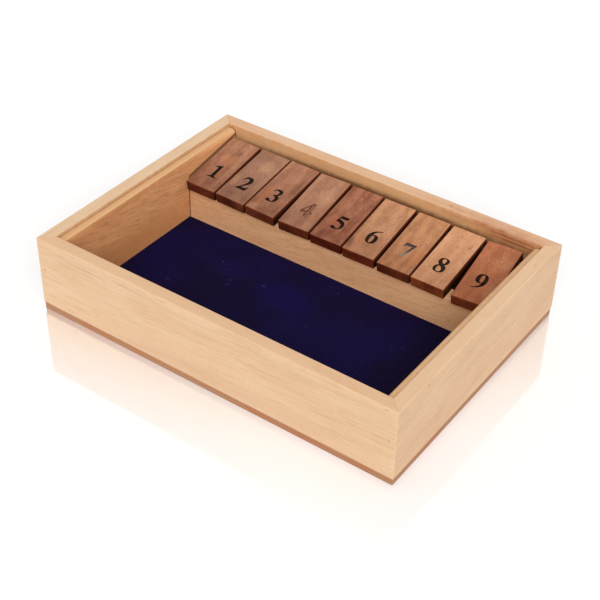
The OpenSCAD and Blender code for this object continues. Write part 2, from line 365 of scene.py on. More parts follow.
def linear(red, green, blue):
    """A screen colour, 0 to 255, as the linear light values of a shader."""
    c = np.array([red, green, blue]) / 255
    c = np.where(c <= 0.04045, c / 12.92, ((c + 0.055) / 1.055) ** 2.4)
    return (*c.tolist(), 1.0)


def blend(share, first, second, how="MIX"):
    """Mixes two colours; a share of 0 gives the first. A colour is a wire,
    three screen values, or four linear values."""
    first, second = (linear(*c) if isinstance(c, tuple) and len(c) == 3 else c
                     for c in (first, second))
    return add_node("Mix", {0: share, 6: first, 7: second}, 2, data_type="RGBA", blend_type=how)


def layered(colour, *layers):
    """Lays (share, colour) pairs over a colour, one after another."""
    for share, tint in layers:
        colour = blend(share, colour, tint)
    return colour


def speckle(vector, scale=1.0, detail=2.0, roughness=0.5):
    """Soft random noise from 0 to 1."""
    return add_node("TexNoise", {"Vector": vector, "Scale": scale,
                                 "Detail": detail, "Roughness": roughness})


def stretched(vector, width, length, shift=0.0):
    """The vector over a width across the grain and a length along it, so that
    noise of size 1 comes out long and thin."""
    size = (width, length, width)
    if isinstance(width, Wire):
        size = add_node("CombineXYZ", size)
    return vector_math("DIVIDE", vector_math("ADD", vector, (shift,) * 3), size)


def make_group(name, inputs, build):
    """A node group. Build gets the inputs as wires, by name, and returns its
    results in the same way."""
    tree = bpy.data.node_groups.new(name, "ShaderNodeTree")
    for key, value in inputs.items():
        kind = "NodeSocketVector" if isinstance(value, tuple) else "NodeSocketFloat"
        socket = tree.interface.new_socket(key, in_out="INPUT", socket_type=kind)
        socket.default_value = value
    starts = tree.nodes.new("NodeGroupInput").outputs
    results = build({key: Wire(starts[key]) for key in inputs})
    for key in results:
        tree.interface.new_socket(key, in_out="OUTPUT", socket_type="NodeSocketFloat")
    ends = tree.nodes.new("NodeGroupOutput").inputs
    for key, wire in results.items():
        tree.links.new(wire.socket, ends[key])
    print(name, len(tree.nodes), "nodes")
    return tree


def use_group(group, **inputs):
    """Adds a node group and returns its outputs as wires, by name."""
    named = {key.replace("_", " "): value for key, value in inputs.items()}
    node = add_node("Group", named, node_tree=group).socket.node
    return {socket.name: Wire(socket) for socket in node.outputs}


print("helpers for nodes are ready")

# %% [markdown]
# ### Timber figure
#
# Wood is a stack of cylinders: growth rings round the pith, with fibres along
# it. The group takes a vector whose Y runs along the grain, and bends it with
# slow noise. Rings come from the distance to the Y axis. Streaks, fibres and
# flecks are noise that is stretched along Y.

# %% Timber figure
NOWHERE = (0.0, 0.0, 0.0)


def timber_figure(put):
    """Rings are (1 + sin(2 pi (distance to the pith + bend) / width)) / 2."""
    vector = put["Vector"]
    bend = (speckle(stretched(vector, 0.03, 0.09)) - 0.5) * put["Ring Wander"]
    x, z = part(vector, "X"), part(vector, "Z")
    phase = ((x * x + z * z).step("SQRT") + bend) / put["Ring Width"]
    sideways = bend * 0.6
    bent = vector_math("ADD", vector, add_node("CombineXYZ", [sideways, 0.0, sideways]))
    fibres = speckle(stretched(bent, put["Fibre Width"], put["Fibre Length"], 0.37), 1.0, 4.0, 0.62)
    flecks = speckle(stretched(bent, put["Fleck Width"], put["Fleck Length"], 0.73), 1.0, 1.0)
    level = put["Fleck Level"]
    flecks = flecks.ramp(level, level + 0.07, kind="LINEAR")
    return {"Rings": (phase * (2 * math.pi)).step("SINE") * 0.5 + 0.5,
            "Streaks": speckle(stretched(bent, 0.0016, 0.05, 0.53), 1.0, 4.0, 0.6),
            "Fibres": fibres, "Flecks": flecks,
            "Clouds": speckle(stretched(vector, 0.02, 0.07, 0.11), 1.0, 3.0),
            "Relief": fibres - flecks * 0.7}


timber = make_group("timber_figure", {
    "Vector": NOWHERE, "Ring Width": 0.004, "Ring Wander": 0.004,
    "Fibre Width": 0.0005, "Fibre Length": 0.02, "Fleck Width": 0.0005,
    "Fleck Length": 0.003, "Fleck Level": 0.62}, timber_figure)

# %% [markdown]
# ### Worn edges and single marks
#
# Hands and shelves polish the edges of a box first. One group breaks the edge
# value of a piece up with noise, so that the wear comes in stretches, and adds
# grime away from the edges. Another gives a soft, ragged spot, for marks that
# sit at one place only, such as a brown heart streak or a pin knot.


# %% Worn edges and spots
def worn_edges(put):
    """Wear is edge * noise * amount; grime is noise * (1 - edge)."""
    broken = speckle(put["Vector"], 160.0, 3.0, 0.6) * 0.8 + speckle(
        put["Vector"], 900.0, 2.0) * 0.25
    grime = speckle(put["Vector"], 45.0, 4.0, 0.6).ramp(0.5, 0.8)
    return {"Wear": put["Edge"] * broken.ramp(0.35, 0.72) * put["Amount"],
            "Grime": grime * (1.0 - put["Edge"])}


def soft_spot(put):
    """From 1 in the middle to 0 at the half sizes."""
    away = vector_math("SUBTRACT", put["Vector"], put["Centre"])
    away = vector_math("DIVIDE", away, put["Half Size"])
    rough = (speckle(put["Vector"], 260.0, 4.0, 0.6) - 0.5) * put["Ragged"]
    away = vector_math("LENGTH", away, out="Value") + rough
    return {"Mask": away.ramp(0.2, 1.0, 1.0, 0.0)}


worn = make_group("worn_edges", {"Vector": NOWHERE, "Edge": 0.0, "Amount": 1.0}, worn_edges)
spot = make_group("soft_spot", {"Vector": NOWHERE, "Centre": NOWHERE,
                                "Half Size": (0.01, 0.01, 0.01), "Ragged": 0.5},
                  soft_spot)

# %% [markdown]
# ## Beech
#
# Beech is pale and straight-grained, with faint rings and short ray flecks,
# under a thin satin lacquer. Each board gets its own material: which way the
# grain runs, where it was cut from the log, and how deep its colour is. One
# shared material would make all the boards look cut from one block.


# %% Parts of a material
def start_material(name):
    """An empty material and its Object coordinates."""
    material = bpy.data.materials.new(name)
    material.use_nodes = True
    return material, add_node("TexCoord", (), "Object", material.node_tree)


def set_shader(material, base, roughness, height, bump_strength, bump_mm, **values):
    """Links the varying inputs of the material's shader and sets the rest."""
    shader = material.node_tree.nodes["Principled BSDF"]
    normal = add_node("Bump", {"Strength": bump_strength,
                               "Distance": bump_mm / 1000, "Height": height})
    for key, wire in (("Base Color", base), ("Roughness", roughness), ("Normal", normal)):
        wire.tree.links.new(wire.socket, shader.inputs[key])
    for key, value in values.items():
        shader.inputs[key.replace("_", " ")].default_value = value
    return material


def point_value(place, name):
    """A number that each point of the piece carries."""
    return add_node("Attribute", (), "Fac", place.tree, attribute_name=name)


def in_the_log(place, along, cut, tilt=0.0):
    """Turns the piece's coordinates into the log's, with Y along the grain, and
    moves the pith away from the board."""
    turn = {"x": (0, tilt, math.pi / 2), "y": (tilt, 0, 0)}[along]
    return add_node("Mapping", {"Vector": place, "Rotation": turn, "Location": cut})


def beyond(place, axis, low_mm, high_mm):
    """From 0 to 1 as the distance from the middle of the box along an axis
    grows from one length to another."""
    return abs(part(place, axis)).ramp(low_mm / 1000, high_mm / 1000)


def behind(place, low_mm, high_mm):
    """From 0 to 1 between two places, from the front to the back."""
    return part(place, "Y").ramp(low_mm / 1000, high_mm / 1000)


def above_middle(place):
    """Millimetres above the tiles' middle plane through the rod:
    1000 * (z cos slope - y sin slope) less the same for the rod."""
    c, s = math.cos(TILE_SLOPE), math.sin(TILE_SLOPE)
    height = vector_math("DOT_PRODUCT", place, (0, -1000 * s, 1000 * c), out="Value")
    return height - (ROD_Z * c - ROD_Y * s)


def add_spots(place, colour, spots):
    """Soft marks: centre and half size in mm, tint, share."""
    for centre, half, tint, share in spots:
        mask = use_group(spot, Vector=place, Centre=[v / 1000 for v in centre],
                         Half_Size=[v / 1000 for v in half])["Mask"]
        colour = blend(mask * share, colour, tint)
    return colour


print("helpers for materials are ready")

# %% Beech
PALE, DEEP, RAY = (216, 183, 147), (206, 168, 130), (168, 122, 86)
HEART, DARK, GREY, SEAM_AND_STEP_SHADE = (178, 112, 70), (132, 74, 44), (150, 122, 90), (150, 90, 48)
# The first tint darkens and warms the inner faces of the end walls, as painted shade and warm bounce
# light.
INSIDE_SHADE, TILE_SHADOW = (0.87, 0.76, 0.64, 1.0), (70, 34, 14)


def beech(name, along, cut, pale, deep, ray=RAY, fleck=0.25, level=0.63,
          size=(0.0004, 0.003), tilt=0.0, inner=None, joints=(), spots=(),
          lines=0.16, wander=0.02, shaded_by_tile=False):
    """A beech board: clouds and streaks blend a pale and a deep colour, and rings, fibres and darker
    ray flecks lie on top. The inner face can be tinted darker and warmer (axis, start, tint), as
    painted shade and warm bounce light inside the tray. A joint is a line near an end (axis, from, to,
    share, tint), and a board shaded by a tile gets a painted shadow line where the outer tile lies
    against it."""
    material, place = start_material(name)
    out = use_group(timber, Vector=in_the_log(place, along, cut, tilt),
                    Ring_Width=0.0075, Ring_Wander=wander, Fibre_Width=0.0007,
                    Fibre_Length=0.035, Fleck_Width=size[0], Fleck_Length=size[1],
                    Fleck_Level=level)
    wear = use_group(worn, Vector=place, Edge=point_value(place, "edge"), Amount=0.55)
    figure = out["Rings"] * 0.06 + out["Clouds"] * 0.44 + out["Streaks"] * 0.5
    colour = blend(figure.ramp(0.3, 0.7), pale, deep)
    # Painted shade: the inner face is tinted darker and warmer than the outer face.
    if inner:
        axis, start, tint = inner
        inside = 1.0 - beyond(place, axis, start + 0.1, start + 0.7)
        colour = blend(inside, colour, blend(1.0, colour, tint, "MULTIPLY"))
    colour = layered(colour, (out["Streaks"].ramp(0.56, 0.66, 0.0, lines), ray),
                     (out["Fibres"].ramp(0.48, 0.8, 0.0, 0.22), ray),
                     (out["Flecks"] * fleck, ray))
    colour = layered(add_spots(place, colour, spots), (wear["Grime"] * 0.1, ray),
                     (wear["Wear"], pale))
    # Painted shadow: a dark line on the strip's face along the top edge of the outer tile, from the
    # rail to the back.
    if shaded_by_tile:
        away = abs(above_middle(place) - (TILE_T / 2 + 0.5)).ramp(0.2, 2.2, 0.8, 0.0)
        colour = blend(away * behind(place, RAIL_Y - 1.5, RAIL_Y + 2), colour, TILE_SHADOW)
    for axis, low, high, share, tint in joints:
        colour = blend(beyond(place, axis, low, high) * share, colour, tint)
    return set_shader(material, colour, out["Fibres"] * 0.22 + 0.42, out["Relief"],
                      0.35, 0.08, Specular_IOR_Level=0.3, Coat_Weight=0.05,
                      Coat_Roughness=0.4)


def rim_line(share, tint):
    """The warm line where a board's face turns into its top."""
    return ("Z", RIM_Z - 0.7, RIM_Z - 0.1, share, tint)


beech_front = beech(
    "beech_front", "x", (0.02, 0.05, 0.09), PALE, DEEP, tilt=0.05,
    spots=[((131.6, -101, 56), (1.6, 2, 0.7), GREY, 0.7),
           ((128, -101, 33.5), (6, 2, 0.7), GREY, 0.35),
           ((-98, -101, 50), (26, 2, 1.2), GREY, 0.3),
           ((-60, -101, 52), (16, 2, 1.0), GREY, 0.3),
           ((-34, -101, 55.5), (7, 2, 0.8), GREY, 0.35),
           ((108, -101, 19), (5, 2, 0.6), GREY, 0.3),
           # Painted shade: the lower part of the front face is darkened.
           ((0, -101, 2), (190, 2, 26), (197, 158, 129), 0.4)],
    joints=[rim_line(0.3, (220, 170, 127))])
beech_back = beech(
    "beech_back", "x", (0.31, 0.04, 0.07), PALE, DEEP, tilt=-0.02,
    # Painted shade: the inner face of the back wall is tinted darker and warmer.
    inner=("Y", BACK_Y, (0.99, 0.83, 0.65, 1.0)),
    spots=[((92, 95, 55), (75, 7, 12), HEART, 0.5),
           ((106, 92, 56), (42, 3, 5.5), HEART, 0.8),
           ((100, 92.4, 57.4), (36, 1.4, 1.4), DARK, 1.0),
           ((109, 91.5, 54.0), (28, 1.8, 1.5), DARK, 0.85),
           ((116, 91.5, 56.4), (18, 1.6, 0.7), (214, 160, 112), 0.7),
           ((112, 95.0, 58), (24, 0.8, 1), (160, 96, 58), 0.5),
           ((84, 97.2, 58), (34, 0.8, 1), HEART, 0.5),
           ((70, 91.5, 54.5), (22, 1.5, 0.7), DARK, 0.35),
           ((110, 91.5, 50.5), (36, 2, 5.5), HEART, 0.7),
           ((112, 91.5, 51.2), (26, 1.6, 1.3), DARK, 0.8),
           # Painted shade: the inner face of the back wall darkens towards the tiles' back ends.
           ((0, 91.5, 46.4), (190, 1.5, 5.5), (110, 64, 32), 0.85),
           ((58.3, 95.6, 58), (2.6, 1.6, 3), DARK, 0.9),
           ((66, 95, 58), (16, 0.9, 2), DARK, 0.5)],
    joints=[rim_line(0.3, (217, 158, 122))])
beech_left = beech(
    "beech_left", "y", (0.06, 0.2, 0.08), (222, 189, 154), (212, 175, 137),
    tilt=0.03, inner=("X", SIDE_X, INSIDE_SHADE),
    # A dark line where the strip meets the wall: the joint, and painted shade on the step below the
    # rim.
    spots=[((-SIDE_X, 0, STRIP_TOP_Z), (1.2, 200, 0.8), SEAM_AND_STEP_SHADE, 0.9)])
beech_right = beech(
    "beech_right", "y", (0.05, 0.6, 0.06), (213, 178, 142), (203, 163, 126),
    fleck=0.5, level=0.65, size=(0.0005, 0.004), tilt=-0.04,
    inner=("X", SIDE_X, INSIDE_SHADE),
    spots=[((140, -68.4, 55.5), (2, 3, 0.7), GREY, 0.6),
           ((139, -63, 57.5), (2, 4, 0.6), GREY, 0.5),
           ((136, 70, 58), (0.8, 4, 2), GREY, 0.5),
           # A dark line where the strip meets the wall: the joint, and painted shade on the step below
           # the rim.
           ((SIDE_X, 0, STRIP_TOP_Z), (1.2, 200, 0.8), SEAM_AND_STEP_SHADE, 0.9)],
    joints=[rim_line(0.45, (226, 190, 152))])
JOINT = (96, 52, 24)
STRIP_JOINT = ("Y", BACK_Y - 1.3, BACK_Y - 0.3, 0.95, JOINT)
# Painted highlight: the top of the left strip's rounded nose is a light cream, ending sharply partway
# round the curve.
STRIP_TOP_HIGHLIGHT = ("Z", STRIP_TOP_Z - 0.95, STRIP_TOP_Z - 0.55, 1.0, (208, 163, 116))
STRIP_EDGE = ("X", SIDE_X - 0.9, SIDE_X - 0.3, 0.6, (240, 200, 150))
beech_strip_left = beech(
    "beech_strip_left", "y", (0.03, 0.9, 0.05), (236, 173, 121), (214, 149, 99),
    (136, 80, 48), 0.4, 0.55, (0.0004, 0.013), 0.22,
    # Painted light and shade on the strip's face: darker low down and towards the front, a darker band
    # under the rounded top, and lighter towards the back.
    spots=[((-124, -35, 12), (8, 130, 30), (201, 134, 82), 0.7),
           ((-127, -25, 53.7), (9, 140, 3.4), (168, 110, 66), 0.9),
           ((-124, 74, 44), (8, 46, 16), (212, 160, 110), 0.7),
           ((-125, 98, 52), (8, 40, 4.2), (226, 176, 126), 0.7)],
    joints=[STRIP_TOP_HIGHLIGHT, STRIP_EDGE, STRIP_JOINT], lines=0.12, wander=0.006,
    shaded_by_tile=True)
beech_strip_right = beech(
    "beech_strip_right", "y", (0.04, 0.4, 0.03), (223, 178, 133), (207, 159, 114),
    (150, 98, 60), 0.4, 0.6, tilt=0.1, joints=[STRIP_EDGE, STRIP_JOINT], lines=0.1)
beech_rail = beech(
    "beech_rail", "x", (0.7, 0.02, 0.05), (228, 178, 133), (212, 156, 112),
    (146, 92, 58), 0.38, 0.62, (0.0005, 0.005), 0.12,
    # A dark band at each end of the rail: the joint line, widened with painted shade in the corner
    # where the rail meets a strip.
    joints=[("X", STRIP_X - 1.5, STRIP_X - 0.3, 1.0, JOINT)], lines=0.08)
print("beech materials are ready")

# %% [markdown]
# ## The four wall boards
#
# The corners are mitred, which is one rule for every point of the section: the
# deeper it lies in the board, the nearer the end comes in. The two boards of a
# corner leave a hair of a gap, which reads as the joint line.

# %% Mitred boards
MITRE_GAP, CLEAR = 0.04, 1


def mitred_board(length):
    """A wall board with its outer face at depth 0. A point at depth d runs along
    it from -(length / 2 - d) to length / 2 - d. At the ends, points inside a
    square of the ease's size are pulled to a quarter circle. Returns along,
    depth and height, with the edge values."""
    section, closeness = rounded_section(
        [(0, BASE_T), (0, RIM_Z), (WALL_T, RIM_Z), (WALL_T, BASE_T)],
        [BOARD_EASE] * 4)
    half, place = length / 2, bar_stations(length / 2)
    along = (place / half)[:, None] * (half - section[:, 0] - MITRE_GAP)
    points = grid_points(along, *section.T)
    corner = BOARD_EASE - np.stack([half - np.abs(along), points[..., 1]], -1)
    far = np.linalg.norm(corner, axis=-1)
    pull = (corner.min(-1) > 0) & (far > BOARD_EASE)
    corner *= np.where(pull, BOARD_EASE / np.maximum(far, 1e-9), 1.0)[..., None]
    points[..., 0] = np.sign(along) * (half - BOARD_EASE + corner[..., 0])
    points[..., 1] = BOARD_EASE - corner[..., 1]
    end_close = np.exp(np.abs(place) - half)[:, None]
    return points, np.maximum(end_close, closeness)


def brad_places():
    """Where the ten brads stand, under the middle of each board."""
    side_x, side_y = BOX_W / 2 - WALL_T / 2, BOX_D / 2 - WALL_T / 2
    places = [(x, y) for x in BRAD_X for y in (-side_y, side_y)]
    return places + [(x, y) for x in (-side_x, side_x) for y in BRAD_Y]


def nail_holes():
    """Every hole in the walls: four pins from the front and back, each wider
    at its head and filler, and ten brads from below."""
    wide, deep = CLEAR + FILLER_T + HEAD_T, CLEAR + FILLER_T + PIN_L
    pin = [(0, PIN_HEAD_R), (wide, PIN_HEAD_R), (wide, PIN_R), (deep, PIN_R)]
    brad = [(0, PIN_R), (BRAD_L - BASE_T + CLEAR, PIN_R)]
    at, z, face = BOX_W / 2 - WALL_T / 2, BASE_T + PIN_Z, BOX_D / 2
    holes = [((x * at, y * (face + CLEAR), z), (x * at, y * (face - CLEAR), z), pin)
             for x in (-1, 1) for y in (-1, 1)]
    return holes + [((x, y, BASE_T - CLEAR), (x, y, BRAD_L), brad) for x, y in brad_places()]


def wall(name, length, distance, turn, material):
    """Stands a mitred board at its side of the box, turned about Z, and drills
    it for each nail that starts in or just outside it."""
    local, closeness = mitred_board(length)
    x, y = rotated(local[..., 0], local[..., 1] - distance, turn)
    points = np.stack([x, y, local[..., 2]], -1)
    low, high = points.min((0, 1)) - 2 * CLEAR, points.max((0, 1)) + 2 * CLEAR
    holes = [hole for hole in nail_holes() if np.all(low < hole[0]) and np.all(hole[0] < high)]
    return bar(name, points, material, closeness, holes)


for name, length, distance, turn, material in (
        ("front_wall", BOX_W, BOX_D / 2, 0, beech_front),
        ("back_wall", BOX_W, BOX_D / 2, math.pi, beech_back),
        ("left_wall", BOX_D, BOX_W / 2, -math.pi / 2, beech_left),
        ("right_wall", BOX_D, BOX_W / 2, math.pi / 2, beech_right)):
    settle(wall(name + "_board", length, distance, turn, material), "box", "beech", name)

# %% [markdown]
# ## Side strips
#
# A strip is glued inside each end wall, 3 mm below the rim, and carries the
# rod. Its section has one large radius, and the rod's seat is drilled in it.

# %% Side strips
STRIP_WEAR = 0.15


def side_strip(name, side, material):
    """A strip at the left (-1) or right (1), carried from wall to wall."""
    outer = SIDE_X - STRIP_GLUE
    section, closeness = rounded_section(
        [(outer, BASE_T), (outer, STRIP_TOP_Z), (STRIP_X, STRIP_TOP_Z),
         (STRIP_X, BASE_T)], [0.3, 0.3, STRIP_ROUND, 0.3], steps=8)
    points = grid_points(side * section[:, 0], bar_stations(BACK_Y)[:, None], section[:, 1])
    seat = [(0, ROD_R + ROD_SEAT), (STRIP_T + 2 * CLEAR, ROD_R + ROD_SEAT)]
    start, end = side * (STRIP_X - CLEAR), side * outer
    return bar(name, points, material, closeness * STRIP_WEAR,
               [((start, ROD_Y, ROD_Z), (end, ROD_Y, ROD_Z), seat)])


for name, side, material in (("left", -1, beech_strip_left), ("right", 1, beech_strip_right)):
    settle(side_strip(name + "_side_strip", side, material), "box", "beech_strip", name + "_strip")

# %% [markdown]
# ## The rail
#
# The tiles rest on a rail behind the velvet, with its top planed to their slope.


# %% Rail
def tile_rest(name, material):
    """The rail's section in y and z is carried from strip to strip."""
    tan = math.tan(TILE_SLOPE)
    front_top = ROD_Z - TILE_T / 2 / math.cos(TILE_SLOPE) - (ROD_Y - RAIL_Y) * tan
    section, closeness = rounded_section(
        [(RAIL_Y, BASE_T), (RAIL_Y + RAIL_T, BASE_T),
         (RAIL_Y + RAIL_T, front_top + RAIL_T * tan), (RAIL_Y, front_top)],
        [0.3, 0.3, 0.6, 0.6])
    place = bar_stations(STRIP_X - RAIL_GAP)[:, None]
    return bar(name, grid_points(place, *section.T), material, closeness)


settle(tile_rest("tile_rest_rail", beech_rail), "box", "beech_strip", "tile_rail")

# %% [markdown]
# ## The base panel
#
# The box stands on thin brown plywood, a little smaller than the walls. Its
# rounded outline is carried up the edge, which shows the plies as lines.

# %% Plywood
PLY_PAIR, PLY_RED = 0.0024, (166, 101, 63)


def plywood(name, face, light_ply, dark_ply):
    """Brown fibres on the faces, and plies that change with height on the edge."""
    material, place = start_material(name)
    out = use_group(timber, Vector=in_the_log(place, "x", (0.1, 0.3, 0.2)),
                    Ring_Width=0.011, Ring_Wander=0.02, Fibre_Width=0.0006,
                    Fibre_Length=0.03)
    height = part(place, "Z") + (speckle(place, 60.0) - 0.5) * 0.0012
    ply = (height * (2 * math.pi / PLY_PAIR)).step("SINE").ramp(-1.2, 2.0)
    red = speckle(place, 28.0, 3.0).ramp(0.45, 0.65, 0.0, 0.55)
    edge_colour = blend(red, blend(ply, light_ply, dark_ply), PLY_RED)
    upright = abs(part(add_node("NewGeometry", (), "Normal", place.tree), "Z"))
    face_colour = blend(out["Fibres"].ramp(0.3, 0.7), face, dark_ply)
    face_colour = blend(out["Rings"].ramp(0.3, 1.0, 0, 0.35), face_colour, light_ply)
    colour = blend(upright.ramp(0.5, 0.9), edge_colour, face_colour)
    return set_shader(material, colour, out["Fibres"] * 0.25 + 0.5, out["Relief"],
                      0.4, 0.1, Specular_IOR_Level=0.3)


plywood_brown = plywood("plywood_brown", (160, 112, 76), (172, 125, 90), (140, 93, 62))
print("made", plywood_brown.name)


# %% Base panel
def panel(name, material):
    """The rounded outline at several heights, pulled in by ease * (1 - cos a)
    where it rises by ease * sin a, for a quarter turn at both arrises."""
    half_w, half_d = BOX_W / 2 - BASE_INSET, BOX_D / 2 - BASE_INSET
    a = np.radians([90, 60, 30, 0])
    rise, pull = BASE_EASE * (1 - np.sin(a)), BASE_EASE * (1 - np.cos(a))
    inset = np.concatenate([pull, [0, 0], pull[::-1]])[:, None]
    height = np.concatenate([rise, [1.5, BASE_T - 1.5], BASE_T - rise[::-1]])
    outline, _ = rounded_section(
        [(-half_w, -half_d), (half_w, -half_d), (half_w, half_d),
         (-half_w, half_d)], [BOARD_EASE] * 4, spacing=14.0)
    inward = -outline / np.abs(outline).max(0)
    inward = np.where(np.abs(inward) > 0.98, inward, 0)
    x, y = (outline[:, i] + inset * inward[:, i] for i in (0, 1))
    head = CLEAR + HEAD_T
    hole = [(0, PIN_HEAD_R), (head, PIN_HEAD_R), (head, PIN_R), (BASE_T + 2, PIN_R)]
    return bar(name, grid_points(x, y, height[:, None]), material, holes=[
        ((px, py, -CLEAR), (px, py, CLEAR), hole) for px, py in brad_places()])


settle(panel("plywood_base", plywood_brown), "box", "base_panel", "base_panel")

# %% [markdown]
# ## Velvet
#
# The floor is navy velvet glued to a thin loose board. A grid carries the
# slight waves of the cloth, and its border dips where the pile falls over the
# cut edge. Solidify gives it its thickness. The pile is too fine for geometry,
# so it is in the material: a sheen, brushed patches and lint.


# %% Velvet material
def velvet_cloth(name):
    """Short dark pile with slow patches, fine tufts and a few specks of lint."""
    material, place = start_material(name)
    pile, tufts = speckle(place, 1900.0, 2.0, 0.6), speckle(place, 420.0, 3.0, 0.6)
    brushed = speckle(place, 22.0, 3.0, 0.55).ramp(0.36, 0.68)
    colour = add_spots(place, blend(brushed, (15, 7, 42), (18, 9, 56)), [
        # The first two spots are lighter patches where the pile lies differently: painted sheen.
        ((-10, -2, 8), (34, 20, 9), (20, 10, 74), 0.6),
        ((-62, 2, 8), (26, 14, 9), (26, 13, 64), 0.5),
        ((118, -20, 8), (50, 80, 9), (14, 8, 30), 0.75),
        ((-29.1, -0.5, 8), (2.4, 1.8, 4), (52, 47, 96), 0.65),
        ((-50.8, -14, 8), (2.0, 3.4, 4), (42, 38, 82), 0.5),
        ((-51.9, -9.2, 8), (3.4, 1.6, 4), (42, 38, 82), 0.5),
        ((-88, -34, 8), (3.2, 1.1, 4), (54, 48, 88), 0.6),
        ((82.9, 0.9, 8), (3, 1.4, 4), (40, 28, 110), 0.5)])
    colour = blend(pile.ramp(0.3, 0.75, 0.0, 0.5), colour, (8, 4, 20))
    lint = speckle(stretched(place, 0.0009, 0.0035, 0.2), 1.0, 1.0).ramp(0.74, 0.82)
    rare = speckle(place, 38.0, 1.0).ramp(0.52, 0.64)
    colour = blend(lint * rare * 0.6, colour, (96, 90, 130))
    return set_shader(material, colour, tufts.ramp(0.2, 0.8, 0.82, 1.0),
                      pile + tufts * 1.5, 0.6, 0.25, Specular_IOR_Level=0.08,
                      Sheen_Weight=0.12, Sheen_Roughness=0.35,
                      Sheen_Tint=linear(92, 70, 200))


navy_velvet = velvet_cloth("navy_velvet")
print("made", navy_velvet.name)

# %% Velvet sheet
BACKING_T, CLOTH_EDGE = 0.5, (0, 0.3, 0.8, 1.6)
PILE_DROP, BORDER_DIP, BORDER_FADE = 0.1, 0.35, 0.7


def laid_sheet(name, material):
    """A grid over the floor. Its height is a sum of slow sines, and near the
    border it dips by border dip * exp(-distance / border fade)."""
    half_x = STRIP_X - FLOOR_GAP
    low_y, high_y = -BACK_Y + FLOOR_GAP, RAIL_Y - FLOOR_GAP
    middle_y, half_y = (low_y + high_y) / 2, (high_y - low_y) / 2
    x, y = np.meshgrid(stations(half_x, CLOTH_EDGE, 3, 190),
                       middle_y + stations(half_y, CLOTH_EDGE, 3, 96), indexing="ij")
    border = np.min([x + half_x, half_x - x, y - low_y, high_y - y], 0)
    wave = (0.05 * np.sin(x / 17 + 1.3 * np.sin(y / 31))
            + 0.04 * np.sin(y / 11 + x / 43) + 0.02 * np.sin(x / 5.1 - y / 7.3))
    dip = BORDER_DIP * np.exp(-border / BORDER_FADE)
    z = BASE_T + FLOOR_T + CLOTH_T - PILE_DROP + wave - dip
    piece = make_piece(name, grid_points(x, y, z), grid_faces(*x.shape), material)
    if piece.data.polygons[0].normal.z < 0:
        piece.data.flip_normals()
    solidify = piece.modifiers.new("thickness", "SOLIDIFY")
    solidify.thickness, solidify.offset = (CLOTH_T - BACKING_T) / 1000, -1
    return piece


velvet = settle(laid_sheet("velvet_sheet", navy_velvet), "box", "velvet", "floor_cloth")

# %% [markdown]
# ## Rosewood tiles
#
# A tile is one closed ring surface round its bore. Each point of the side
# view's outline runs across the tile, down the right face to the bore, back
# through the bore and up the left face, so that every face is a quad and the
# bore is real. A point near an edge is pulled into a smaller inner block and
# pushed out again by the ease's radius.

# %% Stations and eased edges
FINE, EASE_STEPS = 0.12, np.radians([45, 34, 23, 11.5, 0])
HALF = np.array([TILE_W, TILE_L, TILE_T]) / 2
CORE = HALF - TILE_EASE
TO_BORE = ROD_TO_END - HALF[1]


def face_stations(half, spacing, centre=0.0, reach=0.0):
    """Places across a face from -half to half. Near both ends they sit at
    ease * tan(angle), for even steps round the eased edge, and within reach
    of the centre they are fine."""
    margin = TILE_EASE + 0.3
    places = stations(half, TILE_EASE * (1 - np.tan(EASE_STEPS)), margin,
                      int(2 * (half - margin) / spacing) + 1)
    if reach:
        low, high = centre - reach, centre + reach
        places = places[(places < low - FINE) | (places > high + FINE)]
        places = np.sort(np.concatenate([places, np.arange(low, high, FINE)]))
    return places


def eased(points):
    """Pulls each point into the inner block, then pushes it out again by the
    ease's radius."""
    core = np.clip(points, -CORE, CORE)
    length = np.linalg.norm(points - core, axis=-1, keepdims=True)
    return core + TILE_EASE * (points - core) / np.maximum(length, 1e-9)


def skewed(points, number):
    """Turns a tile by its skew and puts its bore at the origin."""
    x, y = rotated(points[..., 0], points[..., 1], SKEW[number - 1])
    return np.stack([x, y + TO_BORE, points[..., 2]], -1)


def lay_tile(points, number):
    """Tilts the tile about the rod by its slope and moves it to its place."""
    x, y, z = np.moveaxis(np.asarray(points), -1, 0)
    y, z = rotated(y, z, TILE_SLOPE)
    return np.stack([x + TILE_X[number - 1], y + ROD_Y, z + ROD_Z], -1)


print("tile half sizes, in mm:", HALF.round(2))

# %% [markdown]
# ### Numerals
#
# The numerals are bold, old-fashioned figures with thick and thin strokes.
# Each is a loop of points on a grid 66 wide and 100 high, where a ~ marks a
# point that pulls a curve towards it. A nine is a six turned upside down.

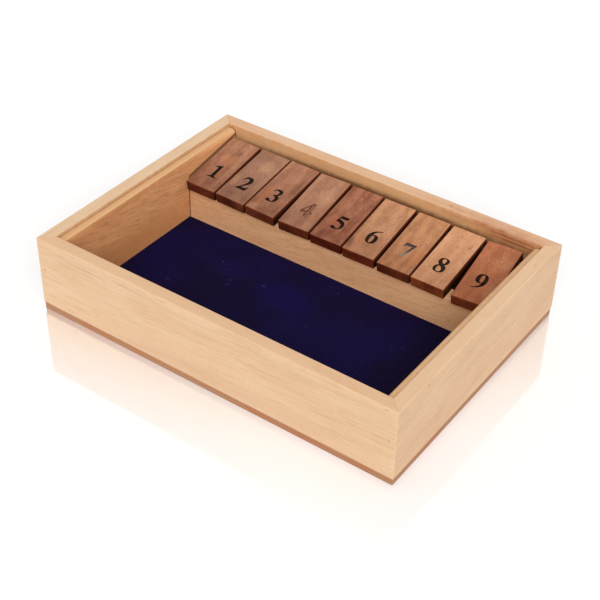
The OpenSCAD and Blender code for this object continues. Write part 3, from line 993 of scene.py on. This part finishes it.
# %% Numeral outlines
NUMERAL_H = 13.8
NUMERALS = {
    1: ["44,100 44,17 44,6~ 62,5 62,0 8,0 8,5 26,6~ 26,17 26,73 26,83~ 19,83 14,83~ 7,80 5,85 40,100"],
    2: ["3,70 9,100~ 32,100 60,100~ 60,74 60,58~ 43,40 23,18 46,18 58,18~ 62,30 66,30 60,0 2,0 2,4 "
        "40,44~ 40,70 40,86~ 24,86 12,86~ 7,70"],
    3: ["4,76 10,100~ 32,100 57,100~ 57,79 57,65~ 43,56 62,49~ 62,31 62,0~ 22,0 2,0~ 2,10 2,19~ 12,19 "
        "18,19~ 24,12 29,6~ 34,6 44,6~ 44,25 44,46~ 20,47 20,51 40,56~ 40,74 40,88~ 26,88 14,88~ 8,76"],
    4: ["42,100 53,100 53,37 65,37 65,21 53,21 53,0 34,0 34,21 2,21 2,37",
        "34,37 34,78 9,37"],
    5: ["17,98 54,98 60,98~ 61,100 64,100 57,80 20,80 17,72 62,66~ 62,34 62,0~ 20,0 2,0~ 2,10 2,18~ "
        "11,18 18,18~ 25,12 31,6~ 35,6 47,6~ 47,26 47,52~ 6,55"],
    6: ["62,100 4,92~ 4,40 4,0~ 34,0 63,0~ 63,33 63,63~ 40,63 31,63~ 25,58 29,91~ 62,96",
        "24,52 28,56~ 33,56 44,56~ 44,30 44,5~ 34,5 23,5~ 23,38 23,46~"],
    7: ["6,100 63,100 63,96 33,0 19,0 46,82 22,82 10,82~ 6,72 2,72"],
    8: ["33,100 58,100~ 58,78 58,65~ 45,56 62,46~ 62,27 62,0~ 32,0 4,0~ 4,24 4,40~ 21,50 6,60~ 6,76 "
        "6,100~",
        "32,95 43,95~ 43,79 43,67~ 37,61 21,70~ 21,82 21,95~",
        "26,45 46,34~ 46,19 46,5~ 33,5 18,5~ 18,25 18,38~"]}


def numeral_loops(number, steps=10):
    """Loops of points in millimetres about the numeral's middle. A curve from
    a to b that is pulled towards p is (1-t)^2 a + 2t(1-t) p + t^2 b."""
    loops = []
    t = np.linspace(0, 1, steps + 1)[1:-1, None]
    for text in NUMERALS[6 if number == 9 else number]:
        words = text.split()
        points = np.array([word.strip("~").split(",") for word in words], float)
        before, after = np.roll(points, 1, 0), np.roll(points, -1, 0)
        runs = [(1 - t) ** 2 * a + 2 * t * (1 - t) * p + t ** 2 * b
                if word[-1] == "~" else p[None]
                for word, p, a, b in zip(words, points, before, after)]
        loop = np.concatenate(runs) - (33, 50)
        loops.append((-loop if number == 9 else loop) * NUMERAL_H / 100)
    return loops


def distance_to_outline(places, loops):
    """How far each place is from the outline, negative inside it, and the
    nearest outline point, found by dropping a perpendicular on each edge. A
    place is inside if a line from it crosses the edges an odd number of times."""
    a = np.concatenate(loops)
    edge = np.concatenate([np.roll(loop, -1, 0) for loop in loops]) - a
    away = places[:, None] - a
    share = np.clip((away * edge).sum(2) / (edge ** 2).sum(1), 0, 1)
    nearest = a + share[..., None] * edge
    far = np.linalg.norm(places[:, None] - nearest, axis=2)
    crosses = (a[:, 1] > places[:, 1:]) != ((a + edge)[:, 1] > places[:, 1:])
    rise = np.where(np.abs(edge[:, 1]) < 1e-12, 1e-12, edge[:, 1])
    at = a[:, 0] + away[..., 1] / rise * edge[:, 0]
    inside = (crosses & (places[:, :1] < at)).sum(1) % 2 == 1
    rows, best = np.arange(len(places)), far.argmin(1)
    return np.where(inside, -1, 1) * far[rows, best], nearest[rows, best]


print("numerals:", {n: len(numeral_loops(n)) for n in range(1, 10)})

# %% [markdown]
# ### The tile's shape
#
# The numeral is pressed half a millimetre into the top. Grid points next to its
# outline are moved onto it, which gives a clean edge without a very fine grid.
# Two numbers are kept for the finish: whether a point is inked, and how deep
# inside the stroke it lies.

# %% Shape of one tile
NUMERAL_AT = 19.4 - HALF[1]
NUMERAL_SHIFT = (0.1, 0.0, 0.1, 0.1, 0.1, 0.5, -0.6, -0.3, -0.5)
NUMERAL_REACH = np.array([5.0, 7.4])
NUMERAL_DEPTH, NUMERAL_SLOPE, STROKE_DEPTH, SNAP = 0.45, 0.35, 0.7, 0.055
INK_SPREAD, INK_EDGE, TILE_FADE, SIDE_WEAR = 0.12, 0.12, 0.9, 0.4
SIDE_SHARES = np.array([0.02, 0.25, 0.5, 0.75, 0.97, 1.0])[:, None, None]


def press_numeral(number, top, across, along):
    """Presses the numeral into the top's points and returns the ink and the
    depth in the stroke. The height falls by the full depth times a smooth
    step of the distance inside the outline."""
    middle = (NUMERAL_SHIFT[number - 1], NUMERAL_AT)
    places = grid_points(across[:, None], along) - middle
    near = (np.abs(places) < NUMERAL_REACH + 0.2).all(-1)
    moved = places[near]
    signed, target = distance_to_outline(moved, numeral_loops(number))
    snap = np.abs(signed) < SNAP
    moved[snap], signed[snap] = target[snap], 0
    step = np.clip(-signed / NUMERAL_SLOPE, 0, 1)
    height = top[near][:, 2] - NUMERAL_DEPTH * step ** 2 * (3 - 2 * step)
    top[near] = skewed(np.column_stack([moved + middle, height]), number)
    ink, inner = np.zeros((2, *near.shape))
    ink[near] = np.clip(0.5 - (signed - INK_SPREAD) / INK_EDGE, 0, 1)
    inner[near] = np.clip(-signed / STROKE_DEPTH, 0, 1)
    return ink, inner


def tile_points(number):
    """The ring surface with its bore along X at the origin, and each point's
    edge, ink and stroke values. On a side face the rings go from the rim
    (share 0) to the bore (share 1)."""
    across = face_stations(HALF[0], 3.5, NUMERAL_SHIFT[number - 1], NUMERAL_REACH[0])
    along = face_stations(HALF[1], 4.0, NUMERAL_AT, NUMERAL_REACH[1])[::-1]
    upright = face_stations(HALF[2], 1.4)
    rim = np.concatenate([
        grid_points(along, HALF[2]), grid_points(-HALF[1], upright[::-1])[1:],
        grid_points(face_stations(HALF[1], 4.0), -HALF[2])[1:],
        grid_points(HALF[1], upright)[1:-1]])
    outward = rim + (TO_BORE, 0)
    circle = outward / np.linalg.norm(outward, axis=1, keepdims=True) * BORE_R
    c, s = math.cos(SKEW[number - 1]), math.sin(SKEW[number - 1])
    block = grid_points(across[:, None], *rim.T)
    rings = [skewed(eased(block), number)]
    for sign in (1, -1):
        x = (sign * HALF[0] - (circle[:, 0] - TO_BORE) * s) / c
        flat = skewed(grid_points(sign * HALF[0], *np.clip(rim, -CORE[1:], CORE[1:]).T), number)
        rings.append(flat + (np.column_stack([x, circle]) - flat) * SIDE_SHARES[::sign])
    points = np.concatenate(rings)
    rows, columns = len(across), len(along)
    values = np.zeros((3, *points.shape[:2]))
    inward = np.sort(HALF - np.abs(block), axis=-1)[..., 1]
    values[0, :rows] = np.exp(-inward / TILE_FADE)
    values[0, [rows, -1]] = SIDE_WEAR
    values[1:, :rows, :columns] = press_numeral(number, points[:rows, :columns], across, along)
    return points, values


print("tile grid:", tile_points(1)[0].shape[:2])

# %% [markdown]
# ### The tiles' finish
#
# Rosewood runs from tan to deep red-brown, so every tile has its own colours
# and its own place in the log. End grain soaks up oil and is nearly
# black-brown. The ink sits in the pressed numerals, and on well-used tiles it
# has worn away from the middle of the strokes.


# %% Rosewood
def facing(place, axis, low, high):
    """How much the surface faces along an axis, from 0 to 1."""
    normal = add_node("TexCoord", (), "Normal", place.tree)
    return abs(part(normal, axis)).ramp(low, high)


def rosewood(number, light, dark, end_tint, ink, spots):
    """One tile's wood and ink. The wood is darker towards its front end and lighter towards its back,
    and its side faces carry painted shade that deepens away from the top. The ink is its colour at the
    outline, its colour in the middle of a stroke, and lighter marks on it."""
    material, place = start_material(f"rosewood_{number}")
    cut = (0.031 * number, 0.17 * number, 0.012 + 0.007 * number)
    vector = in_the_log(place, "y", cut, -TILE_SLOPE)
    out = use_group(timber, Vector=vector, Ring_Width=0.009, Ring_Wander=0.03,
                    Fibre_Width=0.0009, Fibre_Length=0.01, Fleck_Width=0.0004,
                    Fleck_Length=0.003, Fleck_Level=0.6)
    wear = use_group(worn, Vector=place, Edge=point_value(place, "edge"), Amount=0.35)
    mottle = speckle(stretched(vector, 0.005, 0.009, 0.9), 1.0, 4.0, 0.6)
    figure = out["Rings"] * 0.1 + out["Clouds"] * 0.25 + out["Streaks"] * 0.25 + mottle * 0.4
    filled = speckle(stretched(vector, 0.0007, 0.0014, 0.3), 1.0, 1.0)
    colour = layered(
        add_spots(place, blend(figure.ramp(0.36, 0.62), light, dark), spots),
        (out["Fibres"].ramp(0.5, 0.85, 0.0, 0.4), dark),
        (out["Flecks"] * 0.36, (74, 38, 26)),
        (filled.ramp(0.62, 0.74, 0.0, 0.35), (206, 158, 122)))
    # The wood is darker towards the front end and lighter towards the back.
    shade = blend(behind(place, ROD_Y - TILE_L + 6, ROD_Y - 4), FRONT_TONE, BACK_TONE)
    colour = blend(1.0, colour, shade, "MULTIPLY")
    colour = blend(wear["Wear"] * 0.6, colour, (200, 150, 116))
    # Painted shade: the side faces are dark brown, darkest far below the top, so that the gaps between
    # the tiles look deep.
    shaded_side_colour = blend(above_middle(place).ramp(-0.5, 4.4), (38, 11, 4), (92, 45, 25))
    shaded_side_colour = blend(out["Fibres"].ramp(0.4, 0.8, 0, 0.5), shaded_side_colour, (60, 24, 12))
    colour = blend(facing(place, "X", 0.3, 0.75), colour, shaded_side_colour)
    pores = speckle(stretched(vector, 0.0014, 0.004, 0.5), 1.0, 3.0, 0.6) * 0.3
    pores = (out["Clouds"] * 0.7 + pores).ramp(0.32, 0.62)
    end_colour = blend(1.0, blend(pores, (116, 54, 30), (76, 30, 16)), (*end_tint, 1.0), "MULTIPLY")
    colour = blend(facing(place, "Y", 0.5, 0.85), colour, end_colour)
    outline, middle, ink_marks = ink
    ink_colour = blend(point_value(place, "inner").ramp(0.6, 1.25), outline, middle)
    ink_colour = add_spots(place, ink_colour, ink_marks)
    patchy = speckle(place, 900.0, 3.0, 0.6).ramp(0.3, 0.7, 0.9, 1.0)
    ink_mask = point_value(place, "ink").ramp(0.3, 0.7) * patchy
    colour = blend(ink_mask, colour, ink_colour)
    rough = out["Fibres"] * 0.2 + 0.42 + ink_mask * 0.15
    return set_shader(material, colour, rough, out["Relief"], 0.35, 0.06, Specular_IOR_Level=0.05)


def on_tile(number, x, y):
    """The box's coordinates of a place on a tile's top, given from its middle."""
    return lay_tile([x, y + TO_BORE, HALF[2]], number).tolist()


print("middle of tile 5's top, in mm:", np.round(on_tile(5, 0, 0), 1))

# %% The nine tiles
FRONT_TONE, BACK_TONE = (0.8, 0.75, 0.75, 1.0), (1.12, 1.15, 1.17, 1.0)
ORANGE, BLACKISH, CREAM = (192, 122, 76), (96, 56, 40), (208, 156, 116)
BLACK_INK = (5, 4, 4)
TILE_WOOD = {
    1: ((169, 119, 90), (141, 93, 70), (1, 1.05, 1.2)),
    2: ((158, 114, 90), (137, 96, 75), (1, 1.1, 1.2)),
    3: ((168, 117, 90), (140, 92, 69), (1.35, 1.6, 1.75)),
    4: ((167, 120, 94), (147, 101, 77), (0.85, 0.88, 0.86)),
    5: ((160, 104, 78), (125, 73, 53), (0.72, 0.5, 0.6)),
    6: ((187, 134, 98), (158, 110, 79), (0.92, 0.8, 0.76)),
    7: ((185, 131, 92), (161, 108, 75), (0.9, 0.9, 1)),
    8: ((200, 147, 110), (182, 129, 93), (1.5, 1.7, 1.5)),
    9: ((171, 105, 71), (147, 88, 60), (1.15, 1.2, 1.15))}
TILE_MARKS = {
    1: [(0, 5, 9, 8, ORANGE, 0.35), (4, 15, 3, 3.5, BLACKISH, 0.5)],
    2: [(3, 12, 8, 12, CREAM, 0.25), (-9, -10, 4, 10, CREAM, 0.35),
        (9, -23, 4, 7, BLACKISH, 0.2)],
    3: [(-7, -10, 5, 18, ORANGE, 0.35), (9, 4, 3.5, 20, BLACKISH, 0.45),
        (-8, -25, 5, 6, CREAM, 0.4), (9, -22, 4, 8, BLACKISH, 0.3),
        (0, 20, 10, 6, BLACKISH, 0.2)],
    4: [(4, 6, 8, 16, CREAM, 0.3), (8, -14, 4, 5, ORANGE, 0.3),
        (-9, -24, 5, 6, BLACKISH, 0.25), (9, -24, 5, 8, CREAM, 0.3)],
    5: [(-4, -10, 7, 9, (178, 98, 70), 0.4), (-3, -22, 9, 5, BLACKISH, 0.35),
        (6, 16, 8, 9, BLACKISH, 0.25), (-9, 19, 5, 8, BLACKISH, 0.25)],
    6: [(-11, -21, 4.5, 8, BLACKISH, 0.6), (-2, -24, 6, 3.5, CREAM, 0.35),
        (-3, -15, 7, 4, ORANGE, 0.35), (2, -2, 9, 14, CREAM, 0.35)],
    7: [(9, -12, 4, 16, ORANGE, 0.6), (5, 16, 7, 9, BLACKISH, 0.15),
        (-9, 12, 4, 13, BLACKISH, 0.3)],
    8: [(8, 15, 2, 5, BLACKISH, 0.35), (-3, -20, 8, 7, CREAM, 0.4)],
    9: [(5, 12, 7, 12, CREAM, 0.18), (-6, -12, 6, 16, BLACKISH, 0.2),
        (9, -14, 5, 14, CREAM, 0.25)]}
# Tile 4's ink has worn away from the middle of its strokes; tile 7's ink is grey, and lighter on the
# lower part of the diagonal.
UNEVEN_INK = {4: ((78, 47, 33), (150, 106, 84), []),
             7: ((62, 52, 52), (72, 62, 62), [
                 (on_tile(7, -2, -14), (7, 7, 4), (132, 118, 106), 1.0)])}
MARK_DEPTH, TILE_SMOOTH_DEG = 4, 50
for number in range(1, 10):
    marks = [(on_tile(number, x, y), (half_x, half_y, MARK_DEPTH), tint, share)
             for x, y, half_x, half_y, tint, share in TILE_MARKS[number]]
    finish = rosewood(number, *TILE_WOOD[number],
                      UNEVEN_INK.get(number, (BLACK_INK, BLACK_INK, [])), marks)
    points, values = tile_points(number)
    tile = make_piece(f"tile_{number}_wood", lay_tile(points, number),
                      grid_faces(*points.shape[:2], True, True), finish,
                      TILE_SMOOTH_DEG)
    for key, numbers in zip(("edge", "ink", "inner"), values):
        store(tile, key, numbers)
    settle(tile, f"tile_{number}", "rosewood", f"tile_{number}")

# %% [markdown]
# ## Steel rod, nails and filler
#
# The rod is drawn steel wire, a profile turned round its axis. The nails keep
# the frame's own solids, because only their heads can ever be seen. The filler
# over the corner pins is a dull tan paste.


# %% Steel and filler
def drawn_steel(name):
    """Dark grey steel with fine lines along the wire and faint tarnish. Its colours are kept dark as
    painted shade, so that the rod stays dark in the gaps between the tiles.
    """
    material, place = start_material(name)
    lines = speckle(add_node("Mapping", {"Vector": place, "Scale": (40, 2600, 2600)}), 1.0, 3.0)
    tarnish = speckle(place, 120.0, 4.0, 0.6).ramp(0.45, 0.75)
    # Painted shade: the steel's colours are dark, so that the rod stays dark in the gaps between the
    # tiles.
    colour = blend(tarnish * 0.5, blend(lines, (40, 36, 33), (58, 53, 48)), (30, 24, 20))
    return set_shader(material, colour, lines * 0.2 + 0.5, lines, 0.2, 0.02, Metallic=1.0)


def wood_filler(name):
    """Sanded filler, mixed to match the beech, with grains and small pits."""
    material, place = start_material(name)
    grains = speckle(place, 2600.0, 3.0, 0.7)
    colour = blend(grains, (208, 171, 133), (188, 150, 112))
    return set_shader(material, colour, grains * 0.15 + 0.65, grains, 0.4, 0.05,
                      Specular_IOR_Level=0.25)


steel, filler = drawn_steel("drawn_steel"), wood_filler("wood_filler")
floor_wood = plywood("floor_plywood", (190, 150, 106), (206, 168, 124), (166, 122, 82))
for node, material in (("corner_pins", steel), ("base_brads", steel),
                       ("pin_filler", filler), ("floor_board", floor_wood)):
    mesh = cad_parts[node].data
    mesh.materials.clear()
    mesh.materials.append(material)
print("steel, filler and floor board are finished")


# %% Rod
def turned_rod(name, material):
    """The rod's profile, with small chamfers at both ends."""
    half = SIDE_X - 0.2
    first = np.array([[0, ROD_R - 0.5], [0.5, ROD_R], [1.5, ROD_R], [30, ROD_R]])
    last = first[::-1] * (-1, 1) + (2 * half, 0)
    return make_piece(name, *lathe((-half, ROD_Y, ROD_Z), (half, ROD_Y, ROD_Z),
                                   np.concatenate([first, last]), 40), material)


settle(turned_rod("steel_hinge_rod", steel), "box", "steel", "hinge_rod")

# %% [markdown]
# ## Floor and light
#
# The box stands on a slightly glossy white table, which shows it faintly, and
# more clearly towards its far corners. A bright, even surround does most of the
# lighting, and one large lamp at the front gives the shapes a direction.

# %% Floor
REACH, SHINE_FADE, NEAR_SHINE, FAR_SHINE = 6.0, 0.085, 0.12, 0.72
floor_mesh = bpy.data.meshes.new("table")
floor_mesh.from_pydata([(-REACH, -REACH, 0), (REACH, -REACH, 0),
                        (REACH, REACH, 0), (-REACH, REACH, 0)], [], [(0, 1, 2, 3)])
table = new_object("table", floor_mesh)
white, place = start_material("white_table")
tone = blend(speckle(place, 3.0), (0.93, 0.93, 0.93, 1), (0.95, 0.95, 0.95, 1))
set_shader(white, tone, speckle(place, 5.0, 1.0), speckle(place, 40.0), 0.0, 0.01,
           Specular_IOR_Level=0.3)
box_half = (BOX_W / 2000, BOX_D / 2000, 0)
outside = vector_math("SUBTRACT", vector_math("ABSOLUTE", place), box_half)
outside = vector_math("LENGTH", vector_math("MAXIMUM", outside, NOWHERE), out="Value")
near_corner = (BOX_W / 2000, -BOX_D / 2000, 0)
shine = vector_math("DISTANCE", place, near_corner, out="Value")
shine = (outside.ramp(0.0, SHINE_FADE, 1.0, 0.0, "LINEAR")
         * shine.ramp(0.06, 0.28, NEAR_SHINE, FAR_SHINE, "LINEAR"))
mirror = add_node("BsdfGlossy", {"Color": (1, 1, 1, 1), "Roughness": 0.05}, tree=place.tree)
nodes = place.tree.nodes
both = add_node("MixShader", [shine, Wire(nodes["Principled BSDF"].outputs[0]), mirror])
place.tree.links.new(both.socket, nodes["Material Output"].inputs["Surface"])
floor_mesh.materials.append(white)
print("table:", 2 * REACH, "m wide")

# %% Lights
DOME, SEEN_DOME, SUN = 0.62, 1.0, 2.3
SUN_ELEVATION, SUN_AZIMUTH, SUN_SOFTNESS = math.radians(42), math.radians(38), 45
world = bpy.data.worlds.new("studio")
bpy.context.scene.world = world
world.use_nodes = True
background = world.node_tree.nodes["Background"]
background.inputs["Color"].default_value = (1, 1, 1, 1)
glossy, direct = (add_node("LightPath", (), ray, world.node_tree)
                  for ray in ("Is Glossy Ray", "Is Camera Ray"))
strength = glossy.step("MAXIMUM", direct) * (SEEN_DOME - DOME) + DOME
world.node_tree.links.new(strength.socket, background.inputs["Strength"])
sun_data = bpy.data.lights.new("window_light", "SUN")
sun_data.energy, sun_data.angle = SUN, math.radians(SUN_SOFTNESS)
sun = new_object("window_light", sun_data)
sun.rotation_euler = (math.pi / 2 - SUN_ELEVATION, 0, SUN_AZIMUTH)
bpy.context.scene.view_settings.view_transform = "Standard"
print("lights are on")
